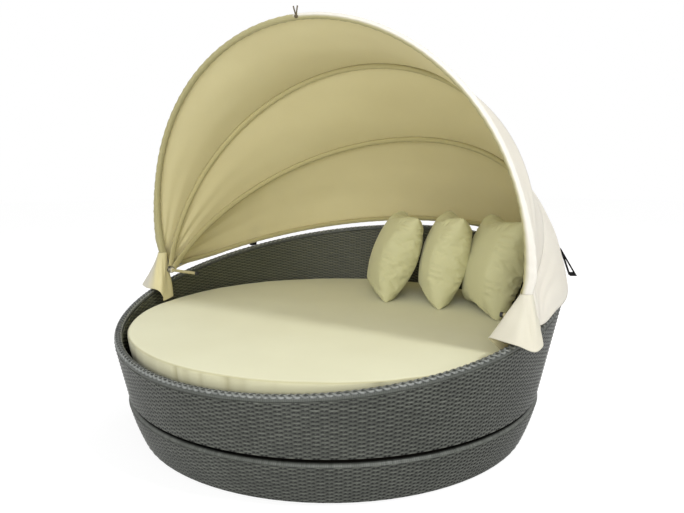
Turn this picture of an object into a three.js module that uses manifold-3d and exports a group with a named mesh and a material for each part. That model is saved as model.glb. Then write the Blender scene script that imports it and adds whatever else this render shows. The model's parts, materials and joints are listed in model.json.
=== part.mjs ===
// Round outdoor daybed with a folding canopy, in millimetres, +Z up.
// The origin is on the floor under the swivel bolt. The low front of the wall faces -Y,
// the high back faces +Y, and the canopy bows turn about a line along X.

import * as THREE from "three";
import { mergeVertices } from "three/addons/utils/BufferGeometryUtils.js";
import Module from "manifold-3d";

const wasm = await Module();
wasm.setup();

// Driving dimensions
const baseFloorRadius = 750;
const baseTopRadius = 800;
const baseHeight = 150;
const swivelGap = 13;
const seatBottomRadius = 796;
const wallFrontHeight = 342;
const wallSideHeight = 481;
const wallBackHeight = 662;
const deckTop = 250;
const mattressRadius = 791;
const mattressTop = 396;
const pivotBehind = -141;
const pivotHeight = 525;

// Radius that the wall gains for each unit of its height, and how far the base bulges
const wallFlareShare = 0.21;
const baseBulgeShare = 0.35;

// Stock sizes
const weaveThickness = 5;
const rimTubeRadius = 9;
const ringTubeRadius = 11;
const uprightRadius = 8;
const beamWidth = 40;
const baseBeamHeight = 30;
const deckBeamHeight = 60;
const deckThickness = 12;
const bowTubeRadius = 9;
const fabricThickness = 3;

// Clearances
const seatGap = 0.3;
const weaveGap = 0.4;
const discGap = 1;
const runningGap = 0.5;
const overrun = 5;
const mergeTolerance = 0.001;

// Counts
const wallFacets = 54;
const frameFacets = 27;
const tubeFacets = 6;
const bowFacets = 6;
const smallFacets = 12;
const uprightCount = 12;
const baseUprightCount = 8;
const footCount = 6;
const bowSteps = 28;
const railSteps = 36;

const degrees = Math.PI / 180;
const wicker = material(0x5f625c, 0.75, 0);
const braidWicker = material(0x8b9094, 0.55, 0);
const aluminium = material(0x4a4b4a, 0.5, 0.8);
const darkSteel = material(0x1d1c1a, 0.45, 0.8);
const boltSteel = material(0x2c2a26, 0.4, 0.9);
const nylon = material(0xd9d5c4, 0.6, 0);
const blackPlastic = material(0x18181a, 0.6, 0);
const timber = material(0x8a7a5c, 0.8, 0);
const cushionCloth = material(0xe2e0c6, 0.9, 0);
const pillowCloth = material(0xdcd8ae, 0.9, 0);
const canopyCloth = material(0xe6e2cc, 0.9, 0);
const webbing = material(0x0f0f10, 0.8, 0);

const daybed = new THREE.Group();

function material(color, roughness, metalness) {
  return new THREE.MeshStandardMaterial({ color, roughness, metalness });
}

function add(name, geometry, finish, parent = daybed) {
  geometry.computeVertexNormals();
  const mesh = new THREE.Mesh(geometry, finish);
  mesh.name = name;
  parent.add(mesh);
  return mesh;
}

// Positions only, with shared vertices merged
function bare(geometry) {
  const copy = new THREE.BufferGeometry();
  copy.setAttribute("position", geometry.getAttribute("position").clone());
  if (geometry.index) copy.setIndex(geometry.index.clone());
  return mergeVertices(copy, mergeTolerance);
}

function toSolid(geometry) {
  const merged = bare(geometry);
  return new wasm.Manifold(
    new wasm.Mesh({
      numProp: 3,
      vertProperties: new Float32Array(merged.getAttribute("position").array),
      triVerts: new Uint32Array(merged.index.array),
    }),
  );
}

function fromSolid(solid) {
  const mesh = solid.getMesh();
  const geometry = new THREE.BufferGeometry();
  const positions = new Float32Array(mesh.vertProperties);
  geometry.setAttribute("position", new THREE.BufferAttribute(positions, mesh.numProp));
  geometry.setIndex(new THREE.BufferAttribute(new Uint32Array(mesh.triVerts), 1));
  return geometry;
}

function joined(...geometries) {
  return fromSolid(geometries.map(toSolid).reduce((whole, next) => whole.add(next)));
}

function cut(geometry, ...tools) {
  return fromSolid(tools.map(toSolid).reduce((left, tool) => left.subtract(tool), toSolid(geometry)));
}

// Turns every face round when a mapped shape came out with its faces pointing in
function facingOut(geometry) {
  const shape = bare(geometry);
  const point = shape.getAttribute("position");
  const corner = [new THREE.Vector3(), new THREE.Vector3(), new THREE.Vector3()];
  const index = shape.index.array;
  let volume = 0;
  for (let i = 0; i < index.length; i += 3) {
    corner.forEach((c, k) => c.fromBufferAttribute(point, index[i + k]));
    volume += corner[0].dot(corner[1].cross(corner[2]));
  }
  if (volume < 0) {
    for (let i = 0; i < index.length; i += 3) {
      [index[i + 1], index[i + 2]] = [index[i + 2], index[i + 1]];
    }
  }
  return shape;
}

function mapped(geometry, place) {
  const point = geometry.getAttribute("position");
  const v = new THREE.Vector3();
  for (let i = 0; i < point.count; i += 1) {
    v.fromBufferAttribute(point, i);
    place(v);
    point.setXYZ(i, v.x, v.y, v.z);
  }
  return facingOut(geometry);
}

// A profile of [radius, height] pairs turned about Z
function turned(profile, facets) {
  const points = profile.map(([radius, height]) => new THREE.Vector2(radius, height));
  return facingOut(new THREE.LatheGeometry(points, facets).rotateX(Math.PI / 2));
}

function closedLoop(profile) {
  return [...profile, profile[0]];
}

function arc(centreX, centreY, radius, from, to, steps) {
  return Array.from({ length: steps + 1 }, (_, i) => {
    const angle = from + ((to - from) * i) / steps;
    return [centreX + radius * Math.cos(angle), centreY + radius * Math.sin(angle)];
  });
}

function disc(radius, bottom, top, facets) {
  return turned([[0, bottom], [radius, bottom], [radius, top], [0, top]], facets);
}

function washer(outer, inner, bottom, top, facets) {
  return turned(closedLoop([[inner, bottom], [outer, bottom], [outer, top], [inner, top]]), facets);
}

function ringTube(radius, height, tubeRadius, facets) {
  const section = arc(radius, height, tubeRadius, 0, 2 * Math.PI, tubeFacets).slice(0, -1);
  return turned(closedLoop(section), facets);
}

// A straight round bar between two points
function bar(from, to, radius, facets = tubeFacets) {
  const along = to.clone().sub(from);
  const geometry = new THREE.CylinderGeometry(radius, radius, along.length(), facets);
  const turn = new THREE.Quaternion().setFromUnitVectors(
    new THREE.Vector3(0, 1, 0),
    along.clone().normalize(),
  );
  const middle = from.clone().add(to).divideScalar(2);
  return geometry.applyQuaternion(turn).translate(middle.x, middle.y, middle.z);
}

// A round bar or washer along X, from one x to another
function barAlongX(fromX, toX, radius, facets = smallFacets) {
  return bar(new THREE.Vector3(fromX, 0, 0), new THREE.Vector3(toX, 0, 0), radius, facets);
}

function box(width, depth, height, x, y, z) {
  return new THREE.BoxGeometry(width, depth, height).translate(x, y, z);
}

function onCircle(radius, angle, z) {
  return new THREE.Vector3(radius * Math.cos(angle), radius * Math.sin(angle), z);
}

// Wall geometry: a cone whose top edge rises from the front to the back
const seatBottom = baseHeight + swivelGap;
const wallThickness = 2 * (weaveThickness + weaveGap + rimTubeRadius);

function wallOuterRadius(z) {
  return seatBottomRadius + wallFlareShare * (z - seatBottom);
}

function rimHeight(angle) {
  const s = Math.sin(angle);
  const slope = (wallBackHeight - wallFrontHeight) / 2;
  const bow = (wallBackHeight + wallFrontHeight) / 2 - wallSideHeight;
  return wallSideHeight + slope * s + bow * s * s;
}

function rimRadius(angle) {
  return wallOuterRadius(rimHeight(angle)) - wallThickness / 2;
}

// A section drawn round the rim's centre line, and carried along it
function alongRim(section, facets) {
  const points = section.map(([out, up]) => new THREE.Vector2(wallSideHeight + out, up));
  const lathe = new THREE.LatheGeometry(points, facets).rotateX(Math.PI / 2);
  return mapped(lathe, (v) => {
    const angle = Math.atan2(v.y, v.x);
    const radius = rimRadius(angle) + Math.hypot(v.x, v.y) - wallSideHeight;
    v.set(radius * Math.cos(angle), radius * Math.sin(angle), v.z + rimHeight(angle));
  });
}

// A shell that follows the wall, from one height to the rim, at a depth below its outer face
function wallShell(depth, thickness, bottom, topBelowRim, facets) {
  const section = closedLoop([[0, 0], [thickness, 0], [thickness, 1], [0, 1]]);
  const points = section.map(([into, share]) => new THREE.Vector2(wallSideHeight - into, share));
  const lathe = new THREE.LatheGeometry(points, facets).rotateX(Math.PI / 2);
  return mapped(lathe, (v) => {
    const angle = Math.atan2(v.y, v.x);
    const into = wallSideHeight - Math.hypot(v.x, v.y);
    const top = rimHeight(angle) - topBelowRim;
    const z = bottom + v.z * (top - bottom);
    const radius = wallOuterRadius(z) - depth - into;
    v.set(radius * Math.cos(angle), radius * Math.sin(angle), z);
  });
}

// Base drum
const baseClearFloor = 4;
const baseEdgeRadius = 16;
const baseLipWidth = 100;

function baseOuterRadius(z) {
  const share = z / baseHeight;
  const bulged = share + baseBulgeShare * share * (1 - share);
  return baseFloorRadius + (baseTopRadius - baseFloorRadius) * bulged;
}

const skinTop = baseHeight - baseEdgeRadius;
const skinSteps = 2;
const skinSide = Array.from({ length: skinSteps + 1 }, (_, i) => {
  const z = baseClearFloor + ((skinTop - baseClearFloor) * i) / skinSteps;
  return [baseOuterRadius(z), z];
});

// Outer radius of the faceted skin at a height
function skinRadius(z) {
  const [[lowRadius, low], [highRadius, high]] = z < skinSide[1][1] ? skinSide : skinSide.slice(1);
  return lowRadius + ((highRadius - lowRadius) * (z - low)) / (high - low);
}

function baseSkinProfile() {
  const side = skinSide;
  const edgeX = skinRadius(skinTop) - baseEdgeRadius;
  const edge = arc(edgeX, skinTop, baseEdgeRadius, 0, Math.PI / 2, 3).slice(1);
  const innerEdge = baseEdgeRadius - weaveThickness;
  const inside = arc(edgeX, skinTop, innerEdge, Math.PI / 2, 0, 3);
  const insideSide = side.toReversed().map(([radius, z]) => [radius - weaveThickness, z]);
  const lip = edgeX - baseLipWidth;
  return closedLoop([
    ...side,
    ...edge,
    [lip, baseHeight],
    [lip, baseHeight - weaveThickness],
    ...inside,
    ...insideSide.slice(1),
  ]);
}

const baseBeamTop = baseHeight - weaveThickness - weaveGap;
const baseBeamMiddle = baseBeamTop - baseBeamHeight / 2;
const footHeight = 12;
const ringTubeFlat = ringTubeRadius * Math.cos(Math.PI / tubeFacets);
const lowRingHeight = footHeight + seatGap + ringTubeFlat;
const topRingHeight = baseBeamTop - ringTubeRadius;
const ringInset = weaveThickness + discGap + ringTubeRadius;

// A ring tube lies against the narrowest part of the skin beside it
function ringInSkin(low, high) {
  return Math.min(skinRadius(low), skinRadius(high)) - ringInset;
}

const lowRingRadius = ringInSkin(baseClearFloor, lowRingHeight + ringTubeRadius);
const topRingRadius = ringInSkin(topRingHeight - ringTubeRadius, skinTop);
const legRadius = 26;
const legBore = 19;
const boltRadius = 8;
const footRadius = 24;
const footFoot = 19;

add("base_weave", turned(baseSkinProfile(), wallFacets), wicker);

function baseFrame() {
  const pieces = [
    ringTube(lowRingRadius, lowRingHeight, ringTubeRadius, frameFacets),
    ringTube(topRingRadius, topRingHeight, ringTubeRadius, frameFacets),
    box(2 * topRingRadius, beamWidth, baseBeamHeight, 0, 0, baseBeamMiddle),
    box(beamWidth, 2 * topRingRadius, baseBeamHeight, 0, 0, baseBeamMiddle),
    disc(legRadius, footHeight + seatGap, baseBeamMiddle, smallFacets),
  ];
  for (let i = 0; i < baseUprightCount; i += 1) {
    const angle = ((i + 0.5) * 2 * Math.PI) / baseUprightCount;
    const low = onCircle(lowRingRadius, angle, lowRingHeight);
    const high = onCircle(topRingRadius, angle, topRingHeight);
    pieces.push(bar(low, high, uprightRadius));
  }
  const boreTop = baseBeamTop - baseBeamHeight;
  return cut(
    joined(...pieces),
    disc(legBore, 0, boreTop, smallFacets),
    disc(boltRadius + runningGap, 0, baseBeamTop + overrun, smallFacets),
  );
}

add("base_frame", baseFrame(), aluminium);

function footGeometry(radius, groundRadius) {
  const chamfer = radius - groundRadius;
  const profile = [[0, 0], [groundRadius, 0], [radius, chamfer], [radius, footHeight], [0, footHeight]];
  return turned(profile, smallFacets);
}

// Each foot stands under the low ring, with its outer side just inside the ring's
const footCircle = lowRingRadius + ringTubeRadius - discGap - footRadius;

for (let i = 0; i < footCount; i += 1) {
  const place = onCircle(footCircle, ((i + 0.5) * 2 * Math.PI) / footCount, 0);
  add(`foot_${i + 1}`, footGeometry(footRadius, footFoot), blackPlastic).position.copy(place);
}
add("centre_foot", footGeometry(legRadius + weaveThickness, legRadius), blackPlastic);

// Swivel between the base beams and the deck beams
const swivelPlateRadius = 150;
const swivelPlateThickness = 5;
const raceRadius = 120;
const raceWidth = 26;
const boltHeadRadius = 14;
const boltHeadHeight = 10;
const deckBottom = deckTop - deckThickness;
const deckBeamTop = deckBottom - seatGap;
const deckBeamBottom = deckBeamTop - deckBeamHeight;
const lowPlateBottom = baseBeamTop + seatGap;
const lowPlateTop = lowPlateBottom + swivelPlateThickness;
const highPlateTop = deckBeamBottom - seatGap;
const highPlateBottom = highPlateTop - swivelPlateThickness;
const boreRadius = boltRadius + runningGap;
const boltNutTop = baseBeamTop - baseBeamHeight - seatGap;

function swivelPlate(bottom) {
  return washer(swivelPlateRadius, boreRadius, bottom, bottom + swivelPlateThickness, 2 * smallFacets);
}

add("swivel_lower_plate", swivelPlate(lowPlateBottom), darkSteel);
add("swivel_upper_plate", swivelPlate(highPlateBottom), darkSteel);

// The race is waisted, where its balls run
function raceProfile() {
  const bottom = lowPlateTop + seatGap;
  const top = highPlateBottom - seatGap;
  const middle = (bottom + top) / 2;
  const half = raceWidth / 2;
  const waist = raceWidth / 3;
  return closedLoop([
    [raceRadius - half, bottom],
    [raceRadius + half, bottom],
    [raceRadius + waist, middle],
    [raceRadius + half, top],
    [raceRadius - half, top],
    [raceRadius - waist, middle],
  ]);
}

add("swivel_race", turned(raceProfile(), frameFacets), boltSteel);

function swivelBolt() {
  const head = disc(boltHeadRadius, highPlateTop + seatGap, highPlateTop + seatGap + boltHeadHeight, 6);
  const nut = disc(boltHeadRadius, boltNutTop - boltHeadHeight, boltNutTop, 6);
  const shank = disc(boltRadius, boltNutTop - boltHeadHeight - overrun, highPlateTop + overrun, smallFacets);
  return joined(head, nut, shank);
}

add("swivel_bolt", swivelBolt(), boltSteel);

// Seat frame: low ring, rim tube, uprights and deck beams, welded
const seatRingHeight = seatBottom + ringTubeRadius + seatGap;
const seatRingRadius = wallOuterRadius(seatRingHeight) - weaveThickness - weaveGap - ringTubeRadius;
const wallInnerAtDeck = wallOuterRadius(deckBottom) - wallThickness;
const deckRadius = wallInnerAtDeck - discGap;
const deckRingRadius = deckRadius - ringTubeRadius - overrun;
const boltPocket = boltHeadRadius + overrun;

function seatFrame() {
  const rimSection = closedLoop(arc(0, 0, rimTubeRadius, 0, 2 * Math.PI, tubeFacets).slice(0, -1));
  const beamMiddle = deckBeamTop - deckBeamHeight / 2;
  const pieces = [
    alongRim(rimSection, wallFacets),
    ringTube(seatRingRadius, seatRingHeight, ringTubeRadius, frameFacets),
    ringTube(deckRingRadius, deckBeamTop - ringTubeRadius, ringTubeRadius, frameFacets),
    box(2 * seatRingRadius, beamWidth, deckBeamHeight, 0, 0, beamMiddle),
    box(beamWidth, 2 * seatRingRadius, deckBeamHeight, 0, 0, beamMiddle),
  ];
  for (let i = 0; i < uprightCount; i += 1) {
    const angle = ((i + 0.5) * 2 * Math.PI) / uprightCount;
    const low = onCircle(wallOuterRadius(seatRingHeight) - wallThickness / 2, angle, seatRingHeight);
    pieces.push(bar(low, onCircle(rimRadius(angle), angle, rimHeight(angle)), uprightRadius));
  }
  const pocketBottom = highPlateTop + seatGap;
  const pocketTop = pocketBottom + boltHeadHeight + overrun;
  return cut(joined(...pieces), disc(boltPocket, pocketBottom - overrun, pocketTop, smallFacets));
}

add("seat_frame", seatFrame(), aluminium);

// Braided edge: a channel that opens downwards over the rim tube
const braidRadius = wallThickness / 2;
const braidMouth = 31 * degrees;

function braidSection() {
  const inner = rimTubeRadius + discGap + weaveGap;
  const right = -braidMouth;
  const left = Math.PI + braidMouth;
  return closedLoop([
    ...arc(0, 0, braidRadius, right, left, 7),
    ...arc(0, 0, inner, left, right, 6),
  ]);
}

const skinBelowRim = braidRadius * Math.sin(braidMouth) + weaveGap;

// Brackets that carry the canopy, with their bolts, stand on the rim tube at the pivot line
const pivotBoltRadius = 4;
const pivotNutRadius = 8;
const pivotNutThickness = 9;
const pivotHeadThickness = 8;
const lugThickness = 5;
const lugWidth = 26;
const lugStraight = 22;
const lugLength = 125;
const lugPitch = 14;
const frontBowHalfWidth = 808;
const railHalfWidth = 823.5;
const bracketWidth = 40;
const bracketThickness = 6;
const gripRadius = 6.5;
const leftGripLength = 146;
const rightGripLength = 20;
const gripCapLength = 9;
const bushRadius = 8;
const washerThickness = 4;
const washerRadius = 11;

const frontBow = { halfWidth: frontBowHalfWidth, rise: 185, reach: 800, angle: 95.2 * degrees };
const secondHalfWidth = frontBowHalfWidth - lugPitch;
const thirdHalfWidth = secondHalfWidth - lugPitch;
const secondBow = { halfWidth: secondHalfWidth, rise: 160, reach: 785, angle: 66.1 * degrees };
const thirdBow = { halfWidth: thirdHalfWidth, rise: 170, reach: 803, angle: 36.4 * degrees };

const pivotAngle = Math.asin(pivotBehind / rimRadius(0));
const bracketX = rimRadius(pivotAngle) * Math.cos(pivotAngle);
const bracketBack = Math.asin((pivotBehind + bracketWidth / 2) / rimRadius(0));
const bracketFoot = rimHeight(bracketBack) + rimTubeRadius + seatGap - pivotHeight;
const bracketTop = bracketWidth / 2;
const holeRadius = pivotBoltRadius + seatGap;

function bracket() {
  const plate = box(bracketThickness, bracketWidth, -bracketFoot, 0, 0, bracketFoot / 2);
  const top = barAlongX(-bracketThickness / 2, bracketThickness / 2, bracketTop, 18);
  const hole = barAlongX(-bracketThickness, bracketThickness, holeRadius);
  return cut(joined(plate, top), hole);
}

// The braid is notched where each bracket comes through it
function braid() {
  const width = bracketThickness + 2 * weaveGap;
  const depth = bracketWidth + 2 * weaveGap;
  const height = 4 * braidRadius;
  const middle = rimHeight(pivotAngle) + height / 2;
  const slots = [-1, 1].map((side) => box(width, depth, height, side * bracketX, pivotBehind, middle));
  return cut(alongRim(braidSection(), wallFacets), ...slots);
}

add("rim_braid", braid(), braidWicker);
add("wall_outer_weave", wallShell(0, weaveThickness, seatBottom, skinBelowRim, wallFacets), wicker);
add(
  "wall_inner_weave",
  wallShell(wallThickness - weaveThickness, weaveThickness, deckBottom, skinBelowRim, wallFacets),
  wicker,
);
add("seat_deck", disc(deckRadius, deckBottom, deckTop, wallFacets), timber);

// Mattress: drawn in at the bottom, sewn in under its top edge, slightly crowned
const mattressBottom = deckTop + seatGap;
const mattressHeight = mattressTop - mattressBottom;
const mattressShares = [
  [0, 0], [0.93, 0], [0.958, 0.05], [0.97, 0.2], [0.988, 0.5], [0.996, 0.7], [0.989, 0.77],
  [1, 0.82], [0.998, 0.9], [0.985, 0.97], [0.955, 1], [0, 1],
];

function mattress() {
  return turned(
    mattressShares.map(([out, up]) => [out * mattressRadius, mattressBottom + up * mattressHeight]),
    wallFacets,
  );
}

add("mattress", mattress(), cushionCloth);

// A curved sheet or cushion: a box whose grid is moved by place(u, v, w), each from -1 to 1
function gridSolid(stepsU, stepsV, place) {
  const grid = new THREE.BoxGeometry(2, 2, 2, stepsU, stepsV, 1);
  return mapped(grid, (v) => place(v, v.x, v.y, v.z));
}

// Throw pillow: crowned faces, drawn-in sides and full corners
const pillowSize = 405;
const pillowThickness = 184;
const pillowSeam = 6;
const pillowDrawShare = 0.06;
const pillowCrownShare = 0.5;

function pillow() {
  return gridSolid(10, 10, (v, a, b, w) => {
    const u = Math.sin((a * Math.PI) / 2);
    const t = Math.sin((b * Math.PI) / 2);
    const fullness = ((1 - u * u) * (1 - t * t)) ** pillowCrownShare;
    const half = pillowSeam / 2 + (pillowThickness / 2) * fullness;
    const across = u * (1 - pillowDrawShare * (1 - t * t) * u * u);
    const up = t * (1 - pillowDrawShare * (1 - u * u) * t * t);
    v.set((across * pillowSize) / 2, w * half, (up * pillowSize) / 2);
  });
}

const firstPillow = { across: 2, setback: 291, turn: 52, lean: 21 };
const middlePillow = { across: 254, setback: 293, turn: 58, lean: 14 };
const lastPillow = { across: 508, setback: 341, turn: 50, lean: 14 };

[firstPillow, middlePillow, lastPillow].forEach(({ across, setback, turn, lean }, i) => {
  const geometry = pillow();
  geometry.rotateX(-lean * degrees).rotateZ(-turn * degrees);
  geometry.computeBoundingBox();
  const up = mattressTop + seatGap - geometry.boundingBox.min.z;
  const place = new THREE.Vector3(across, mattressRadius - setback, up);
  add(`pillow_${i + 1}`, geometry, pillowCloth).position.copy(place);
});

// Canopy bows, each a horseshoe in its own plane through the pivot line.
// In that plane x runs across the daybed and y away from the pivot line.
function bowAcross(bow) {
  return bow.halfWidth / Math.sqrt(1 - (bow.rise / bow.reach) ** 2);
}

function bowPoint(bow, t, outward = 0) {
  const across = bowAcross(bow);
  const normal = new THREE.Vector2(-Math.cos(t) / across, Math.sin(t) / bow.reach).normalize();
  return new THREE.Vector2(
    -across * Math.cos(t) + outward * normal.x,
    bow.rise + bow.reach * Math.sin(t) + outward * normal.y,
  );
}

function bowStart(bow, distance) {
  return Math.asin((distance - bow.rise) / bow.reach);
}

class BowCurve extends THREE.Curve {
  constructor(bow, from) {
    super();
    this.bow = bow;
    this.from = bowStart(bow, from);
  }

  getPoint(share, target = new THREE.Vector3()) {
    const point = bowPoint(this.bow, this.from + (Math.PI - 2 * this.from) * share);
    return target.set(point.x, point.y, 0);
  }
}

// The flattened end of a tube: an eye on the pivot bolt and a cranked strip up to the tube
function lug(eyeX, endX, length, extra = 0) {
  const half = lugThickness / 2 + extra;
  const strip = new THREE.Shape([
    new THREE.Vector2(eyeX - half, 0),
    new THREE.Vector2(eyeX + half, 0),
    new THREE.Vector2(eyeX + half, lugStraight),
    new THREE.Vector2(endX + half, length),
    new THREE.Vector2(endX - half, length),
    new THREE.Vector2(eyeX - half, lugStraight),
  ]);
  const width = lugWidth + 2 * extra;
  const plate = new THREE.ExtrudeGeometry(strip, { depth: width, bevelEnabled: false });
  plate.translate(0, 0, -width / 2);
  return joined(plate, barAlongX(eyeX - half, eyeX + half, width / 2));
}

function bowLug(bow, side, extra) {
  const end = bowPoint(bow, bowStart(bow, lugLength));
  return lug(side * bow.halfWidth, side * Math.abs(end.x), lugLength, extra);
}

function tubeAlong(extrudePath, steps, radius) {
  const section = new THREE.Shape().absarc(0, 0, radius, 0, 2 * Math.PI);
  return new THREE.ExtrudeGeometry(section, { steps, curveSegments: bowFacets / 2, extrudePath });
}

function bowTube(bow, radius) {
  return tubeAlong(new BowCurve(bow, lugLength - bowTubeRadius), bowSteps, radius);
}

function eyeHoles(halfWidth) {
  return [-1, 1].map((side) => {
    const eye = side * halfWidth;
    return barAlongX(eye - lugThickness, eye + lugThickness, holeRadius);
  });
}

function bowGeometry(bow) {
  const tube = joined(bowTube(bow, bowTubeRadius), bowLug(bow, -1), bowLug(bow, 1));
  return cut(tube, ...eyeHoles(bow.halfWidth));
}

// The rear rail runs round the back just above the rim, from one pivot to the other
const railLift = 35;
const railBackLift = 11;
const railOut = 12;
const railEase = 25 * degrees;
const railLugLength = 70;
const railLugReach = railLugLength - bowTubeRadius;

function railPoint(angle, outward = 0, upward = 0) {
  const distance = Math.PI / 2 - Math.abs(angle - Math.PI / 2) - pivotAngle;
  const eased = THREE.MathUtils.smoothstep(distance, 0, railEase);
  const s = Math.sin(angle);
  const startOut = railHalfWidth - bracketX;
  const startLift = pivotHeight - rimHeight(pivotAngle);
  const out = startOut + (railOut - startOut) * eased;
  const lift = startLift + (railLift - startLift) * eased + railBackLift * s * s * eased;
  const place = onCircle(rimRadius(angle) + out + outward, angle, rimHeight(angle) + lift + upward);
  return place.sub(new THREE.Vector3(0, pivotBehind, pivotHeight));
}

function railStart(distance) {
  return Math.asin((pivotBehind + distance) / bracketX);
}

class RailCurve extends THREE.Curve {
  getPoint(share, target = new THREE.Vector3()) {
    const from = railStart(railLugReach);
    return target.copy(railPoint(from + (Math.PI - 2 * from) * share));
  }
}

function railTube(radius) {
  return tubeAlong(new RailCurve(), railSteps, radius);
}

function railLug(side, extra) {
  const end = railPoint(railStart(railLugLength));
  return lug(side * railHalfWidth, side * end.x, railLugLength, extra);
}

function rearRail() {
  const rail = joined(railTube(bowTubeRadius), railLug(-1), railLug(1));
  return cut(rail, ...eyeHoles(railHalfWidth));
}

const pivotLine = new THREE.Group();
pivotLine.position.set(0, pivotBehind, pivotHeight);
daybed.add(pivotLine);

function bowGroup(bow) {
  const group = new THREE.Group();
  group.rotation.x = bow.angle;
  pivotLine.add(group);
  return group;
}

const frontGroup = bowGroup(frontBow);
add("front_bow", bowGeometry(frontBow), aluminium, frontGroup);
add("second_bow", bowGeometry(secondBow), aluminium, bowGroup(secondBow));
add("third_bow", bowGeometry(thirdBow), aluminium, bowGroup(thirdBow));
add("rear_rail", rearRail(), aluminium, pivotLine);

// Pivot hardware, mirrored on the two sides
const halfLug = lugThickness / 2;
const gripEnd = thirdBow.halfWidth - halfLug - seatGap - washerThickness - seatGap;

function bushing(fromX, toX, radius) {
  return cut(
    barAlongX(fromX + seatGap, toX - seatGap, radius),
    barAlongX(fromX - overrun, toX + overrun, holeRadius),
  );
}

function pivotBolt(gripLength) {
  const inner = gripEnd - gripLength + overrun;
  const headStart = bracketX + bracketThickness / 2 + seatGap;
  const shank = barAlongX(inner, headStart + seatGap, pivotBoltRadius);
  const head = barAlongX(headStart, headStart + pivotHeadThickness, pivotNutRadius, 6);
  return joined(shank, head);
}

function grip(gripLength) {
  const body = barAlongX(gripEnd - gripLength, gripEnd, gripRadius);
  const bore = barAlongX(gripEnd - gripLength + overrun - seatGap, gripEnd + overrun, holeRadius);
  return cut(body, bore);
}

function gripCap(gripLength) {
  const outer = gripEnd - gripLength - seatGap;
  return barAlongX(outer - gripCapLength, outer, gripRadius + pivotBoltRadius / 2);
}

for (const [side, word, gripLength] of [[-1, "left", leftGripLength], [1, "right", rightGripLength]]) {
  const hand = new THREE.Group();
  hand.rotation.z = side < 0 ? Math.PI : 0;
  pivotLine.add(hand);
  const nutStart = frontBow.halfWidth + halfLug;
  add(`pivot_bracket_${word}`, bracket().translate(bracketX, 0, 0), darkSteel, hand);
  add(`pivot_bolt_${word}`, pivotBolt(gripLength), boltSteel, hand);
  const nut = cut(
    barAlongX(nutStart + seatGap, nutStart + seatGap + pivotNutThickness, pivotNutRadius, 6),
    barAlongX(nutStart - overrun, nutStart + pivotNutThickness + overrun, holeRadius),
  );
  add(`pivot_nut_${word}`, nut, boltSteel, hand);
  const outerBush = bushing(secondBow.halfWidth + halfLug, frontBow.halfWidth - halfLug, bushRadius);
  const middleBush = bushing(thirdBow.halfWidth + halfLug, secondBow.halfWidth - halfLug, bushRadius);
  const innerWasher = bushing(gripEnd, thirdBow.halfWidth - halfLug, washerRadius);
  add(`outer_bush_${word}`, outerBush, nylon, hand);
  add(`middle_bush_${word}`, middleBush, nylon, hand);
  add(`inner_washer_${word}`, innerWasher, nylon, hand);
  add(`pivot_grip_${word}`, grip(gripLength), nylon, hand);
  add(`pivot_cap_${word}`, gripCap(gripLength), blackPlastic, hand);
}

// Canopy cloth: a sheet stretched over two tubes, sagging or billowing a little between them
const clothStart = 100;
const clothSagShare = 0.06;
const rearBillowShare = 0.08;
const ridgeGap = 2;
const valleyGap = 8;
const hemLap = 6;
const clothClear = 1.3;
const edgeStep = 0.001;
const panelColumns = 28;
const panelRows = 4;

// The centre line of a tube under the cloth, as a function of the share along it
function bowLine(bow) {
  const start = bowStart(bow, clothStart);
  const turn = new THREE.Euler(bow.angle, 0, 0);
  return (share) => {
    const flat = bowPoint(bow, Math.PI - start - (Math.PI - 2 * start) * share);
    return new THREE.Vector3(flat.x, flat.y, 0).applyEuler(turn);
  };
}

function railLine(share) {
  const start = railStart(clothStart);
  return railPoint(start + (Math.PI - 2 * start) * share);
}

// A point on the cloth, at a share along its tubes and a share from the low one to the high one
function clothPoint(cloth, share, up, lift) {
  const low = cloth.low(share);
  const across = cloth.low(share + edgeStep).sub(cloth.low(share - edgeStep));
  const along = cloth.high(share).sub(low);
  const span = along.length();
  const outward = across.cross(along).normalize();
  if (outward.dot(low) < 0) outward.negate();
  const sag = cloth.sagShare * span * 4 * up * (1 - up);
  const reach = cloth.lowGap + up * (span - cloth.lowGap - cloth.highGap);
  low.addScaledVector(along, reach / span);
  return low.addScaledVector(outward, bowTubeRadius + clothClear + lift - sag);
}

function panel(cloth) {
  return gridSolid(panelColumns, panelRows, (v, u, b, w) => {
    v.copy(clothPoint(cloth, (u + 1) / 2, (b + 1) / 2, (fabricThickness * (w + 1)) / 2));
  });
}

const frontCloth = {
  low: bowLine(secondBow),
  high: bowLine(frontBow),
  lowGap: ridgeGap,
  highGap: ridgeGap,
  sagShare: clothSagShare,
};
const middleCloth = {
  low: bowLine(thirdBow),
  high: bowLine(secondBow),
  lowGap: valleyGap,
  highGap: ridgeGap,
  sagShare: clothSagShare,
};
const rearCloth = {
  low: railLine,
  high: bowLine(thirdBow),
  lowGap: -hemLap,
  highGap: valleyGap,
  sagShare: -rearBillowShare,
};
add("front_panel", panel(frontCloth), canopyCloth, pivotLine);
add("middle_panel", panel(middleCloth), canopyCloth, pivotLine);
add("rear_panel", panel(rearCloth), canopyCloth, pivotLine);

// Cloth cuff that hangs over the rim and hides each pivot
const cuffHalfWidth = 62;
const cuffHeight = 195;
const cuffLength = 140;
const cuffMiddleX = 823;
const cuffFront = -110;
const cuffHem = -105;
const cuffDrop = 26;
const cuffFlareShare = 0.22;
const cuffShoulderShare = 0.55;

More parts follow.
